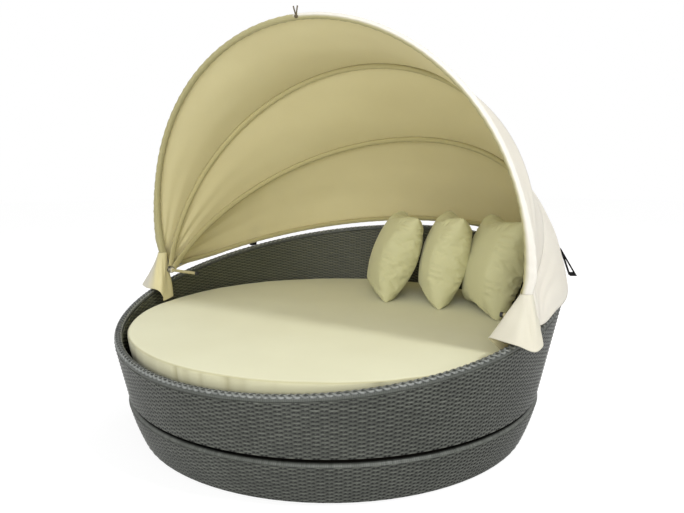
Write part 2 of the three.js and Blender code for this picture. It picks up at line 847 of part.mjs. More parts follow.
function cuff(side, gripLength) {
  const sheet = gridSolid(16, 5, (v, a, b, w) => {
    const turn = ((a + 1) / 2) * Math.PI;
    const back = (b + 1) / 2;
    const flare = 1 + cuffFlareShare * (1 - Math.sin(turn)) * (1 - back);
    const radius = cuffHalfWidth * flare + (fabricThickness * w) / 2;
    const height = cuffHeight - cuffDrop * (1 - back) + (fabricThickness * w) / 2;
    const x = cuffMiddleX + radius * Math.cos(turn);
    const up = cuffHem + height * Math.sin(turn) ** cuffShoulderShare;
    v.set(side * x, cuffFront + cuffLength * back, up);
  });
  const gripInner = side * (gripEnd - gripLength);
  const gripPath = barAlongX(gripInner, side * (bracketX + overrun), washerRadius + runningGap);
  const cutters = [frontBow, secondBow, thirdBow].map((bow) => {
    const swept = joined(bowLug(bow, side, runningGap), bowTube(bow, bowTubeRadius + runningGap));
    return swept.rotateX(bow.angle);
  });
  const railPath = joined(railLug(side, runningGap), railTube(bowTubeRadius + runningGap));
  return cut(sheet, ...cutters, railPath, gripPath);
}

add("cuff_left", cuff(-1, leftGripLength), canopyCloth, pivotLine);
add("cuff_right", cuff(1, rightGripLength), canopyCloth, pivotLine);

// Cord ends knotted on the front bow's top
const knotRadius = 7;
const knotX = 20;
const tailLength = 34;
const tailRadius = 2.5;
const tailSpread = 9;

function canopyTie() {
  const top = frontBow.rise + frontBow.reach;
  const forward = bowTubeRadius + seatGap + knotRadius;
  const knot = new THREE.SphereGeometry(knotRadius, 12, 8).translate(knotX, top, forward);
  const root = new THREE.Vector3(knotX, top, forward);
  const tails = [-1, 1].map((side) => {
    const tip = new THREE.Vector3(knotX + side * tailSpread, top + tailLength, forward);
    return bar(root, tip, tailRadius);
  });
  return joined(knot, ...tails);
}

add("canopy_tie", canopyTie(), webbing, frontGroup);

// Webbing loop sewn to the rear cloth on each side, where it ties the folded canopy down
const strapShare = 5 / panelColumns;
const strapUpShare = 1 / panelRows;
const strapOut = 66;
const strapInward = 40;
const strapDrop = 108;
const strapWidth = 30;
const strapBandShare = 0.32;

function strapLoop() {
  const corners = [
    new THREE.Vector2(0, 0),
    new THREE.Vector2(strapInward, -strapDrop),
    new THREE.Vector2(strapOut, -strapDrop),
  ];
  const centre = corners[0].clone().add(corners[1]).add(corners[2]).divideScalar(3);
  const outline = new THREE.Shape(corners);
  const inside = corners.map((corner) => corner.clone().lerp(centre, strapBandShare));
  outline.holes.push(new THREE.Path(inside.toReversed()));
  const loop = new THREE.ExtrudeGeometry(outline, { depth: strapWidth, bevelEnabled: false });
  return loop.translate(0, 0, -strapWidth / 2).rotateX(Math.PI / 2);
}

for (const [side, word] of [[-1, "left"], [1, "right"]]) {
  const strap = add(`strap_${word}`, strapLoop(), webbing, pivotLine);
  const share = side < 0 ? 1 - strapShare : strapShare;
  strap.position.copy(clothPoint(rearCloth, share, strapUpShare, fabricThickness + seatGap));
  strap.rotation.z = Math.atan2(strap.position.y + pivotBehind, strap.position.x);
}

export default daybed;
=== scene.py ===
import json
import math

import bmesh
import bpy
import numpy as np
from mathutils import Matrix, Vector


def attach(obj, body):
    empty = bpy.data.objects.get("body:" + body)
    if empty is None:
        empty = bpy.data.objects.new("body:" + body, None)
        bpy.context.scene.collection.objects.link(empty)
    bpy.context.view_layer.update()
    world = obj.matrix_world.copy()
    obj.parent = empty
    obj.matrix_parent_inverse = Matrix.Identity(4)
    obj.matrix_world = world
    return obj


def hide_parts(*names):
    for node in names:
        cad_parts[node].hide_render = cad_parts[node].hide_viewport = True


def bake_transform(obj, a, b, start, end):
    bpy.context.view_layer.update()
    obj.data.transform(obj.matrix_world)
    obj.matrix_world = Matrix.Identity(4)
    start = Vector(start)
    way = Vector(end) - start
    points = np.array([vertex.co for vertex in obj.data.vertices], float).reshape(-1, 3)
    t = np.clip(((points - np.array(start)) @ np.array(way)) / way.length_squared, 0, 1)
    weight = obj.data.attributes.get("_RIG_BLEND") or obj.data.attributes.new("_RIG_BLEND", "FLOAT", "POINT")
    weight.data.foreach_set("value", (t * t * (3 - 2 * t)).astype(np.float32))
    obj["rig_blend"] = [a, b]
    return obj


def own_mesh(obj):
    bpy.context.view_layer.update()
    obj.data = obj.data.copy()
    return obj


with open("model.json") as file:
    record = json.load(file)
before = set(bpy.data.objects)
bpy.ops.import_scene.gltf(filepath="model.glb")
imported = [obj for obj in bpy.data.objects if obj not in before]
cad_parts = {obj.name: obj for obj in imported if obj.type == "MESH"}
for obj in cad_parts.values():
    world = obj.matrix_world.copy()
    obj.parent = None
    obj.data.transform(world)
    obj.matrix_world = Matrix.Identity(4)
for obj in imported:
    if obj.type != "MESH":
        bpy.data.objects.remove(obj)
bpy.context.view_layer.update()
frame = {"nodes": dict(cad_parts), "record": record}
cadNodes = frame["nodes"]
print("frame loaded,", len(cadNodes), "CAD nodes")

# Main shape in metres, the same as the part's own values
wall = {
    "bottom": 0.163, "radius": 0.796, "flare": 0.21, "rimFront": 0.342, "rimSide": 0.481, "rimBack": 0.662,
    "thickness": 0.0288, "deckTop": 0.25,
}
base = {
    "floorRadius": 0.75, "topRadius": 0.8, "height": 0.15, "bulge": 0.35, "clear": 0.004, "edge": 0.016,
    "lip": 0.1,
}
pivot = {"y": -0.141, "z": 0.525}
fullTurn = 2 * math.pi
hair = 1e-9
mergeDistance = 1e-5


def wallRadius(z):
    return wall["radius"] + wall["flare"] * (z - wall["bottom"])


def rimZ(angle):
    s = np.sin(angle)
    slope = (wall["rimBack"] - wall["rimFront"]) / 2
    bow = (wall["rimBack"] + wall["rimFront"]) / 2 - wall["rimSide"]
    return wall["rimSide"] + slope * s + bow * s * s


def rimRadius(angle):
    return wallRadius(rimZ(angle)) - wall["thickness"] / 2


def baseRadius(z):
    share = z / base["height"]
    swell = share + base["bulge"] * share * (1 - share)
    return base["floorRadius"] + (base["topRadius"] - base["floorRadius"]) * swell


scatterMix = {"scales": (12.9898, 78.233, 37.719), "size": 43758.5453}


def scatter(*counts):
    # a repeatable number from 0 to 1 for each set of counts
    total = sum(count * scale for count, scale in zip(counts, scatterMix["scales"]))
    return np.mod(np.sin(total) * scatterMix["size"], 1)


def smooth(value, low, high):
    # 0 up to low, 1 from high on, and an even rise between them
    t = np.clip((value - low) / (high - low), 0, 1)
    return t * t * (3 - 2 * t)


def ripple(points, scale, seed, octaves=3, waves=5):
    # gentle repeatable waves in space, from about -1 to 1, made of a few crossing sines
    rng = np.random.default_rng(seed)
    total = np.zeros(len(points))
    weight = 0
    for octave in range(octaves):
        for _ in range(waves):
            direction = rng.normal(size=3)
            direction /= np.linalg.norm(direction)
            phase = rng.uniform(0, fullTurn)
            total += np.sin(points @ direction * fullTurn / scale * 2**octave + phase) / 2**octave
        weight += waves / 2**octave
    return total / weight * 2


def unit(vectors):
    return vectors / np.linalg.norm(vectors, axis=-1, keepdims=True)


def polar(radius, angle, z):
    return np.stack([radius * np.cos(angle), radius * np.sin(angle), z], -1)


def pivotDistance(points):
    # how far points are from the line through the two pivots
    return np.hypot(points[:, 1] - pivot["y"], points[:, 2] - pivot["z"])


# Mesh helpers
def link(name, data):
    piece = bpy.data.objects.new(name, data)
    bpy.context.scene.collection.objects.link(piece)
    return piece


def pointsOf(mesh):
    return np.array([vert.co for vert in mesh.vertices])


def movePoints(mesh, points):
    mesh.vertices.foreach_set("co", np.ascontiguousarray(points, dtype=float).ravel())


def tidied(mesh):
    bm = bmesh.new()
    bm.from_mesh(mesh)
    bmesh.ops.remove_doubles(bm, verts=bm.verts, dist=mergeDistance)
    bmesh.ops.recalc_face_normals(bm, faces=bm.faces)
    bm.to_mesh(mesh)
    bm.free()


def gridPiece(name, across, along, place, closed=True):
    # a grid whose points place(u, v) moves, with named marks kept as attributes
    bm = bmesh.new()
    bmesh.ops.create_grid(bm, x_segments=across, y_segments=along, size=0.5)
    mesh = bpy.data.meshes.new(name)
    bm.to_mesh(mesh)
    bm.free()
    flat = np.empty(len(mesh.vertices) * 3)
    mesh.vertices.foreach_get("co", flat)
    u = np.rint((flat[0::3] + 0.5) * across)
    v = np.rint((flat[1::3] + 0.5) * along)
    points, marks = place(u, v)
    movePoints(mesh, points)
    for key, values in marks.items():
        mark = mesh.attributes.new(key, "FLOAT", "POINT")
        mark.data.foreach_set("value", values.astype(np.float32))
    if closed:
        tidied(mesh)
    mesh.shade_smooth()
    return link(name, mesh)


def finished(piece, material, body, stands=()):
    piece.data.materials.clear()
    piece.data.materials.append(material)
    if body:
        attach(piece, body)
    if stands:
        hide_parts(*stands)


def thicken(piece, thickness, offset=0, inside=0):
    solid = piece.modifiers.new("thickness", "SOLIDIFY")
    solid.thickness = thickness
    solid.offset = offset
    solid.material_offset = inside


def bakeModifiers(piece):
    depsgraph = bpy.context.evaluated_depsgraph_get()
    mesh = bpy.data.meshes.new_from_object(piece.evaluated_get(depsgraph))
    piece.modifiers.clear()
    piece.data = mesh


def sayArea(piece, sides=1):
    area = sum(face.area for face in piece.data.polygons) / sides
    print(piece.name, "cloth area", round(area, 5))


# Shader helpers
class Amount:
    # a socket that Python's own sums add maths nodes to
    def __init__(self, nodes, socket):
        self.nodes = nodes
        self.socket = socket

    def math(self, operation, *values):
        made = self.nodes.node("ShaderNodeMath", {"operation": operation}, dict(enumerate(values)))
        return Amount(self.nodes, made.outputs[0])

    def __add__(self, other):
        return self.math("ADD", self, other)

    def __radd__(self, other):
        return self.math("ADD", other, self)

    def __mul__(self, other):
        return self.math("MULTIPLY", self, other)

    def __rmul__(self, other):
        return self.math("MULTIPLY", other, self)

    def sine(self):
        return self.math("SINE", self)

    def most(self, other):
        return self.math("MAXIMUM", self, other)


class Nodes:
    def __init__(self, tree):
        self.tree = tree

    def feed(self, socket, value):
        if isinstance(value, Amount):
            value = value.socket
        if isinstance(value, bpy.types.NodeSocket):
            self.tree.links.new(value, socket)
        else:
            socket.default_value = value

    def node(self, kind, settings=None, sockets=None):
        made = self.tree.nodes.new(kind)
        for key, value in (settings or {}).items():
            setattr(made, key, value)
        for key, value in (sockets or {}).items():
            self.feed(made.inputs[key], value)
        return made

    def anyRay(self, *kinds):
        # 1 for a ray of any of these kinds
        rays = self.node("ShaderNodeLightPath").outputs
        seen = Amount(self, rays[kinds[0]])
        for kind in kinds[1:]:
            seen = seen.most(Amount(self, rays[kind]))
        return seen


class Finish(Nodes):
    def __init__(self, name, roughness, uniform=None):
        self.material = bpy.data.materials.new(name)
        self.material.use_nodes = True
        super().__init__(self.material.node_tree)
        self.shader = self.tree.nodes["Principled BSDF"]
        self.output = self.tree.nodes["Material Output"]
        self.rough(roughness)
        for key, value in (uniform or {}).items():
            self.feed(self.shader.inputs[key], value)
        self.where = self.node("ShaderNodeTexCoord").outputs["Object"]

    def mark(self, name):
        return Amount(self, self.node("ShaderNodeAttribute", {"attribute_name": name}).outputs["Fac"])

    def axes(self):
        parts = self.node("ShaderNodeSeparateXYZ", {}, {0: self.where})
        return [Amount(self, socket) for socket in parts.outputs]

    def noise(self, scale, detail, stretch=(1, 1, 1)):
        place = self.node("ShaderNodeMapping", {}, {"Vector": self.where, "Scale": stretch})
        inputs = {"Vector": place.outputs[0], "Scale": scale, "Detail": detail}
        return Amount(self, self.node("ShaderNodeTexNoise", {}, inputs).outputs[0])

    def between(self, value, low, high, fromLow=0.0, fromHigh=1.0):
        inputs = {"Value": value, "From Min": fromLow, "From Max": fromHigh, "To Min": low, "To Max": high}
        return Amount(self, self.node("ShaderNodeMapRange", {"clamp": True}, inputs).outputs[0])

    def blend(self, factor, first, second):
        inputs = {0: factor, 6: first, 7: second}
        return self.node("ShaderNodeMix", {"data_type": "RGBA"}, inputs).outputs[2]

    def colour(self, value):
        self.feed(self.shader.inputs["Base Color"], value)

    def rough(self, value):
        self.feed(self.shader.inputs["Roughness"], value)

    def bump(self, height, depth, strength):
        inputs = {"Height": height, "Distance": depth, "Strength": strength}
        made = self.node("ShaderNodeBump", {}, inputs)
        self.feed(self.shader.inputs["Normal"], made.outputs[0])

    def mixIn(self, share, other):
        # gives the surface a share of another shader
        inputs = {0: share, 1: self.shader.outputs[0], 2: other.outputs[0]}
        mixed = self.node("ShaderNodeMixShader", {}, inputs)
        self.feed(self.output.inputs["Surface"], mixed.outputs[0])


def linear(level):
    return ((level / 255 + 0.055) / 1.055) ** 2.4 if level > 10 else level / 3294


def shade(*levels):
    # an 8 bit screen colour as a linear one
    return tuple(linear(level) for level in levels) + (1,)


# Resin strand finishes. A mark paints shade into gaps, seams, grooves, hidden backs and braid edges; Tone is
# a strand's own random tone.
strandLook = {
    "specular": 0.34, "ownShare": 0.65, "blotchShare": 0.35, "blotch": (5, 3), "wear": (60, 2),
    "wearSwing": 0.12, "grain": (220, 2, (1, 1, 4)), "grainDepth": 0.0004, "grainStrength": 0.5,
}


def strandFinish(name, dark, light, gap, roughness):
    finish = Finish(name, roughness, {"Specular IOR Level": strandLook["specular"]})
    blotch = finish.noise(*strandLook["blotch"])
    tone = finish.mark("Tone") * strandLook["ownShare"] + blotch * strandLook["blotchShare"]
    strand = finish.blend(tone, shade(*dark), shade(*light))
    # the gap colour is painted shade, blended in where the shade mark is high
    finish.colour(finish.blend(finish.mark("Hollow"), strand, shade(*gap)))
    swing = strandLook["wearSwing"]
    finish.rough(finish.between(finish.noise(*strandLook["wear"]), roughness - swing, roughness + swing))
    grain = finish.noise(*strandLook["grain"])
    finish.bump(grain, strandLook["grainDepth"], strandLook["grainStrength"])
    return finish.material


outerStrand = strandFinish("wicker", (60, 63, 56), (112, 115, 106), (3, 4, 2), 0.36)
innerStrand = strandFinish("wicker_inside", (80, 82, 66), (110, 112, 92), (12, 13, 9), 0.5)
braidStrand = strandFinish("braid", (78, 81, 77), (146, 149, 145), (8, 9, 9), 0.36)
wrapStrand = strandFinish("wrapped_strand", (74, 77, 71), (108, 111, 105), (8, 9, 8), 0.42)

# Woven bands of the wall and the base
weave = {
    "row": 0.0069, "proud": 0.0014, "hole": 0.0048, "seam": 0.0015, "seamShade": 0.4, "seamTone": 0.4,
    "nearStake": 0.4, "edgeDip": 0.0008, "backShade": 0.3, "underRim": 0.0065, "belowDeck": 0.012,
    "rimSamples": 721,
}
# One strand from over a stake to half way to the next: share of the way, height and painted shade
strandProfile = np.array(
    [
        (0, 0, 0.4),
        (0.125, -0.0006, 1),
        (0.25, -weave["hole"], 1),
        (0.375, -0.0002, 1),
        (0.5, 0.6 * weave["proud"], 0.5),
        (0.75, 0.9 * weave["proud"], 0),
        (1, weave["proud"], 0),
    ]
)
outerWeave = {"periods": 97, "depth": 0.006, "fine": 2}
innerWeave = {"periods": 95, "depth": 0.005, "side": -1}
baseWeave = {"periods": 92, "depth": 0.006, "fine": 2}


def weaveRelief(run, half):
    # run counts quarter stakes and half counts half rows; odd halves are the middles of the strands
    row = half // 2
    place = run + 4 * row + 4
    fromStake = np.abs(place % 8 - 4) / 4
    middle = half % 2 == 1
    share, height, dark = strandProfile.T
    # painted shade along the seams between rows, twice as much beside the stakes
    seamShade = weave["seamShade"] * (1 + (fromStake < weave["nearStake"]))
    return (
        np.where(middle, np.interp(fromStake, share, height), -weave["seam"]),
        np.where(middle, np.interp(fromStake, share, dark), seamShade),
        np.where(middle, scatter(place // 8, row), weave["seamTone"]),
    )


def wovenBand(name, radiusAt, low, high, periods, depth, side=1, fine=1, rowsBelow=0):
    # a closed band of weave from the height low to the line high(angle), which may follow the rim
    allRound = np.linspace(0, fullTurn, weave["rimSamples"])
    rows = math.ceil((np.max(high(allRound)) - low) / weave["row"] - hair)
    steps = 8 * fine * periods
    lastHalf = 2 * rows

    def place(u, v):
        angle = u / steps * fullTurn
        half = np.clip(v - 1, 0, lastHalf)
        z = low + half * weave["row"] / 2
        top = high(angle)
        over = z >= top - hair
        z = np.minimum(z, top)
        relief, shadeAmount, tone = weaveRelief(u / fine, half + 2 * rowsBelow)
        relief = np.where(over | (half == 0), -weave["edgeDip"], relief)
        back = (v == 0) | (v > lastHalf + 1)
        z = np.where(v == lastHalf + 3, low, z)
        out = np.where(back, -depth, relief)
        # painted shade on the hidden back and on the rows tucked under the rim
        shadeAmount = np.where(over | back, weave["backShade"], shadeAmount)
        return polar(radiusAt(z) + side * out, angle, z), {"Hollow": shadeAmount, "Tone": tone}

    return gridPiece(name, steps, lastHalf + 3, place)


def level(height):
    return lambda angle: np.full_like(angle, height)


def underRim(angle):
    return rimZ(angle) - weave["underRim"]


def innerRadius(z):
    return wallRadius(z) - wall["thickness"]


lowRows = 24  # the outer wall is made in two bands, and the upper one ends at the rim
split = wall["bottom"] + lowRows * weave["row"]
lowerWall = wovenBand("outer_weave_low", wallRadius, wall["bottom"], level(split), **outerWeave)
upperWall = wovenBand("outer_weave_high", wallRadius, split, underRim, **outerWeave, rowsBelow=lowRows)
for band in (lowerWall, upperWall):
    finished(band, outerStrand, "seat", ["wall_outer_weave"])
innerLow = wall["deckTop"] - weave["belowDeck"]
innerWall = wovenBand("inner_weave", innerRadius, innerLow, underRim, **innerWeave)
finished(innerWall, innerStrand, "seat", ["wall_inner_weave"])
print("wall weave done")

# The wrapped strands that turn over the base's top edge
wrap = {"grooveShade": 0.35, "seed": 3.0}
baseRoll = {
    "wraps": 748, "ridge": 0.0005, "skin": 0.005, "bottom": 0.1395, "lapOut": 0.0012, "lapDown": 0.001,
    "cornerPoints": 7, "backPoints": 5, "backShade": 0.9, "shadeUnderSeat": ([3, 4, 6, 9], [0, 0.35, 1, 1]),
}

baseBand = wovenBand("base_weave_band", baseRadius, base["clear"], level(baseRoll["bottom"]), **baseWeave)
finished(baseBand, outerStrand, "base", ["base_weave"])


def wrapRidge(u, wraps, ridge):
    # every second step along the roll is the groove between two wrapped strands, which gets painted shade
    groove = u % 2 == 0
    tone = scatter(u // 2 % wraps, wrap["seed"])
    return np.where(groove, -ridge, ridge), np.where(groove, wrap["grooveShade"], 0.0), tone


def baseRollOutline():
    # out from the lap over the weave, round the edge, in along the lip and back underneath
    sideTop = base["height"] - base["edge"]
    edgeX = baseRadius(sideTop) - base["edge"]
    lipX = edgeX - base["lip"]
    bottom, skin = baseRoll["bottom"], baseRoll["skin"]
    begin = math.asin((bottom - sideTop) / base["edge"])

    def arc(radius, turns):
        return [(edgeX + radius * math.cos(turn), sideTop + radius * math.sin(turn)) for turn in turns]

    lap = (baseRadius(bottom) + baseRoll["lapOut"], bottom - baseRoll["lapDown"])
    outline = [lap]
    outline += arc(base["edge"], np.linspace(begin, math.pi / 2, baseRoll["cornerPoints"]))
    outline += [(lipX, base["height"]), (lipX, base["height"] - skin)]
    outline += arc(base["edge"] - skin, np.linspace(math.pi / 2, 0, baseRoll["backPoints"]))
    outline += [(baseRadius(bottom) - skin, bottom - baseRoll["lapDown"]), lap]
    return np.array(outline)


baseOutline = baseRollOutline()


def placeBaseRoll(u, v):
    angle = u / (2 * baseRoll["wraps"]) * fullTurn
    index = v.astype(int)
    relief, shadeAmount, tone = wrapRidge(u, baseRoll["wraps"], baseRoll["ridge"])
    corner = baseRoll["cornerPoints"]
    outside = (index > 0) & (index < corner + 2)
    relief = np.where(outside, relief, 0)
    slope = np.clip((index - 1) / (corner - 1), 0, 1) * math.pi / 2
    radius = baseOutline[index, 0] + relief * np.cos(slope)
    z = baseOutline[index, 1] + relief * np.sin(slope)
    # painted shade under the seat's overhang and on the roll's hidden back
    shaded = np.interp(index, *baseRoll["shadeUnderSeat"])
    shadeAmount = np.where(outside, np.maximum(shadeAmount, shaded), baseRoll["backShade"])
    return polar(radius, angle, z), {"Hollow": shadeAmount, "Tone": tone}


baseEdge = gridPiece("base_edge_wraps", 2 * baseRoll["wraps"], len(baseOutline) - 1, placeBaseRoll)
finished(baseEdge, wrapStrand, "base", ["base_weave"])
print("base weave done")

# Rim: wrapped strands over the rim tube, and a three strand braid on top
rim = {
    "wraps": 812, "ridge": 0.0004, "outerRadius": 0.0122, "coreRadius": 0.0104, "mouth": math.radians(40),
    "outerPoints": 11, "corePoints": 6, "coreShade": 0.4, "toneShare": 0.2,
}
braid = {
    "strands": 3, "periods": 76, "steps": 14, "sides": 8, "swing": math.radians(54), "radius": 0.0133,
    "lift": 0.0014, "strandHalf": 0.0044, "strandThick": 0.0009, "squareness": 0.7, "edgeShade": 0.9,
    "tones": 900, "leastTone": 0.15, "tonesSwing": 0.85,
}


def rimSection(angle, out, up):
    return polar(rimRadius(angle) + out, angle, rimZ(angle) + up)


def placeRimWraps(u, v):
    angle = u / (2 * rim["wraps"]) * fullTurn
    first, last = -rim["mouth"], math.pi + rim["mouth"]
    outer = np.linspace(first, last, rim["outerPoints"])
    core = np.linspace(last, first, rim["corePoints"])
    turns = np.concatenate([outer, core, outer[:1]])
    index = v.astype(int)
    relief, shadeAmount, tone = wrapRidge(u, rim["wraps"], rim["ridge"])
    outside = (index < len(outer)) | (index == len(turns) - 1)
    radius = np.where(outside, rim["outerRadius"] + relief, rim["coreRadius"])
    # painted shade on the inner face of the rim wraps
    shadeAmount = np.where(outside, shadeAmount, rim["coreShade"])
    points = rimSection(angle, radius * np.cos(turns[index]), radius * np.sin(turns[index]))
    return points, {"Hollow": shadeAmount, "Tone": tone * rim["toneShare"]}


rimWraps = gridPiece("rim_wraps", 2 * rim["wraps"], rim["outerPoints"] + rim["corePoints"], placeRimWraps)
finished(rimWraps, wrapStrand, "seat", ["rim_braid"])


def braidLine(share, strand):
    # a point on the middle of a strand, and the direction out of the braid there
    angle = share * fullTurn
    turn = braid["periods"] * share * fullTurn + strand * fullTurn / braid["strands"]
    place = math.pi / 2 + braid["swing"] * np.sin(turn)
    radius = braid["radius"] + braid["lift"] * np.sin(2 * turn)
    point = rimSection(angle, radius * np.cos(place), radius * np.sin(place))
    return point, polar(np.cos(place), angle, np.sin(place))


def placeBraid(strand):
    step = 1e-5

    def place(u, v):
        share = u / (braid["steps"] * braid["periods"])
        point, normal = braidLine(share, strand)
        along = unit(braidLine(share + step, strand)[0] - braidLine(share - step, strand)[0])
        aside = unit(np.cross(normal, along))
        outward = np.cross(along, aside)
        turn = v / braid["sides"] * fullTurn
        cosine = np.cos(turn)
        across = np.sign(cosine) * np.abs(cosine) ** braid["squareness"] * braid["strandHalf"]
        thick = np.sin(turn) * braid["strandThick"]
        tone = scatter(np.floor(share * braid["tones"]), strand)
        # painted shade at each strand's edges; the random tone also stands in for glints, as painted
        # highlights
        marks = {
            "Hollow": np.abs(cosine) ** 3 * braid["edgeShade"],
            "Tone": braid["leastTone"] + braid["tonesSwing"] * tone,
        }
        return point + aside * across[:, None] + outward * thick[:, None], marks

    return place


for strand in range(braid["strands"]):
    name = f"rim_braid_strand_{strand + 1}"
    strandPiece = gridPiece(name, braid["steps"] * braid["periods"], braid["sides"], placeBraid(strand))
    finished(strandPiece, braidStrand, "seat")
print("rim done")

# Cloth finishes. A mark blends in a second colour as painted shade: the shaded sides of sleeves and cuffs and
# the mattress's boxed side.
clothLook = {
    "roughness": 0.85, "rougher": 0.08, "smoother": 0.06, "specular": 0.25, "sheenRoughness": 0.5,
    "blotch": (3.0, 4), "fine": (420, 2), "toneRange": (0.3, 0.7), "threadDepth": 0.0003,
    "threadStrength": 0.35, "mottle": (0.7, 0.3), "threadShare": 0.5,
}


def clothFinish(name, light, dark, thread, glow=None, share=0.0, inside=None, sheen=0.15):
    uniform = {
        "Specular IOR Level": clothLook["specular"],
        "Sheen Weight": sheen,
        "Sheen Roughness": clothLook["sheenRoughness"],
    }
    roughness = clothLook["roughness"]
    finish = Finish(name, roughness, uniform)
    x, y, z = [(axis * (fullTurn / thread)).sine() for axis in finish.axes()]
    grid = (x * y).most(y * z).most(x * z)
    blotch = finish.noise(*clothLook["blotch"])
    fine = finish.noise(*clothLook["fine"])
    broadShare, fineShare = clothLook["mottle"]
    mottle = blotch * broadShare + fine * fineShare
    tone = finish.between(mottle, 0.0, 1.0, *clothLook["toneRange"])
    plain = finish.blend(tone, shade(*dark), shade(*light))
    # the second colour is painted shade
    if inside:
        plain = finish.blend(finish.mark("Inside"), plain, shade(*inside))
    finish.colour(plain)
    finish.rough(finish.between(fine, roughness - clothLook["smoother"], roughness + clothLook["rougher"]))
    threadShare = clothLook["threadShare"]
    threads = grid * threadShare + fine * (1 - threadShare)
    finish.bump(threads, clothLook["threadDepth"], clothLook["threadStrength"])
    if glow:
        finish.mixIn(share, finish.node("ShaderNodeBsdfTranslucent", {}, {"Color": shade(*glow)}))
    return finish.material


canopyThread, cushionThread = 0.0011, 0.0012
ivory = ((230, 227, 218), (223, 219, 209), canopyThread)
khaki = ((226, 219, 178), (218, 210, 168), canopyThread)
# a darker copy of the ivory for the cuffs, painted shade
shadedIvory = ((214, 210, 193), (206, 202, 185), canopyThread)
whiteGlow, warmGlow = (242, 234, 204), (240, 226, 168)
canopyCloth = clothFinish("canopy_cloth", *ivory, whiteGlow, 0.22)
# the canopy's inner faces get a khaki copy of the ivory cloth, painted warm shade
canopyShadedInside = clothFinish("canopy_shaded_inside", *khaki, warmGlow, 0.24)
# the second colours of the hem, cuff and sleeve cloths are painted shade on their inner sides
frontHem = clothFinish("front_hem", *ivory, warmGlow, 0.1, (172, 165, 122))
cuffCloth = clothFinish("cuff_cloth", *shadedIvory, warmGlow, 0.12, (214, 205, 160))
sleeveCloth = clothFinish("sleeve_cloth", *ivory, warmGlow, 0.1, (188, 179, 132))
# the mattress's second colour is painted shade for its boxed side, creases and top edge
mattressCloth = clothFinish(
    "mattress_cloth", (222, 221, 192), (215, 213, 183), cushionThread, inside=(178, 173, 138)
)
pillowCloth = clothFinish("pillow_cloth", (206, 204, 162), (197, 194, 151), cushionThread)

# Mattress
mattress = {
    "radius": 0.791,
    "bottom": 0.2503,
    "top": 0.396,
    "columns": 360,
    "folds": 96,
    "foldSeed": 11,
    "foldWidth": (0.006, 0.016),
    "foldDepth": (-1, 0.5),
    "foldLean": (-0.02, 0.02),
    "sideWaves": 0.0055,
    "sideRipple": {"depth": 0.0015, "scale": 0.3, "seed": 5},
    "topRipple": {"depth": 0.0022, "scale": 0.5, "seed": 3},
    "seam": {"depth": 0.0008, "scale": 0.12, "seed": 8, "at": 0.95, "width": 0.02},
    "sideFrom": (0.93, 0.97),
    "sideRise": (0.02, 0.2),
    "sideEnd": (0.93, 0.99),
    "topFrom": (0.9, 1.0),
    "shadeTop": (-0.9995, -0.985),
    "foldShade": (0.45, 0.5),
    "leastShade": 0.1,
}
# Half of its section: share of the radius and share of the height
mattressOutline = [
    (0.0, 0.0), (0.3, 0.0), (0.6, 0.0), (0.8, 0.0), (0.93, 0.0), (0.955, 0.01),
    (0.966, 0.04), (0.972, 0.09), (0.975, 0.15), (0.979, 0.25), (0.984, 0.36), (0.989, 0.47),
    (0.993, 0.58), (0.996, 0.68), (0.998, 0.76), (0.9992, 0.83), (0.9998, 0.88), (1.0, 0.92),
    (0.9998, 0.945), (0.9992, 0.963), (0.998, 0.977), (0.996, 0.988), (0.993, 0.995), (0.989, 0.999),
    (0.984, 1.0), (0.975, 1.0), (0.955, 1.0), (0.92, 1.0), (0.87, 1.0), (0.8, 1.0),
    (0.7, 1.0), (0.55, 1.0), (0.4, 1.0), (0.25, 1.0), (0.1, 1.0), (0.0, 1.0),
]


def sideFolds(angle, up):
    # the creases of the boxed side, as depths at each angle and height
    rng = np.random.default_rng(mattress["foldSeed"])
    fold = np.zeros_like(angle)
    for _ in range(mattress["folds"]):
        middle, width = rng.uniform(0, fullTurn), rng.uniform(*mattress["foldWidth"])
        depth = rng.uniform(*mattress["foldDepth"])
        gap = np.mod(angle - middle + math.pi, fullTurn) - math.pi
        lean = rng.uniform(*mattress["foldLean"])
        fold += depth * np.exp(-(((gap + lean * up) / width) ** 2))
    return fold


def placeMattress(u, v):
    angle = u / mattress["columns"] * fullTurn
    out, up = np.array(mattressOutline)[v.astype(int)].T
    radius = out * mattress["radius"]
    z = mattress["bottom"] + up * (mattress["top"] - mattress["bottom"])
    points = polar(radius, angle, z)

    def waves(kind):
        return ripple(points, mattress[kind]["scale"], mattress[kind]["seed"])

    side = smooth(out, *mattress["sideFrom"]) * smooth(up, *mattress["sideRise"])
    side = side * (1 - smooth(up, *mattress["sideEnd"]))
    fold = sideFolds(angle, up)
    sideWave = mattress["sideRipple"]["depth"] * waves("sideRipple")
    radius = radius + side * (fold * mattress["sideWaves"] + sideWave)
    top = smooth(up, *mattress["topFrom"])
    topWave = top * mattress["topRipple"]["depth"] * (waves("topRipple") - 1)
    groove = np.exp(-(((out - mattress["seam"]["at"]) / mattress["seam"]["width"]) ** 2))
    seam = -mattress["seam"]["depth"] * groove * top * (1 + waves("seam"))
    # painted shade: the boxed side half darkened, inward creases darker, bulges lighter, the band under the
    # top edge and the underside full
    plain, folded = mattress["foldShade"]
    shaded = np.clip(1 - side * (plain + folded * fold), mattress["leastShade"], 1)
    shaded = shaded * smooth(-up, *mattress["shadeTop"])
    return polar(radius, angle, z + topWave + seam), {"Inside": shaded}


mattressPiece = gridPiece("mattress_cushion", mattress["columns"], len(mattressOutline) - 1, placeMattress)
finished(mattressPiece, mattressCloth, "seat", ["mattress"])
print("mattress done")

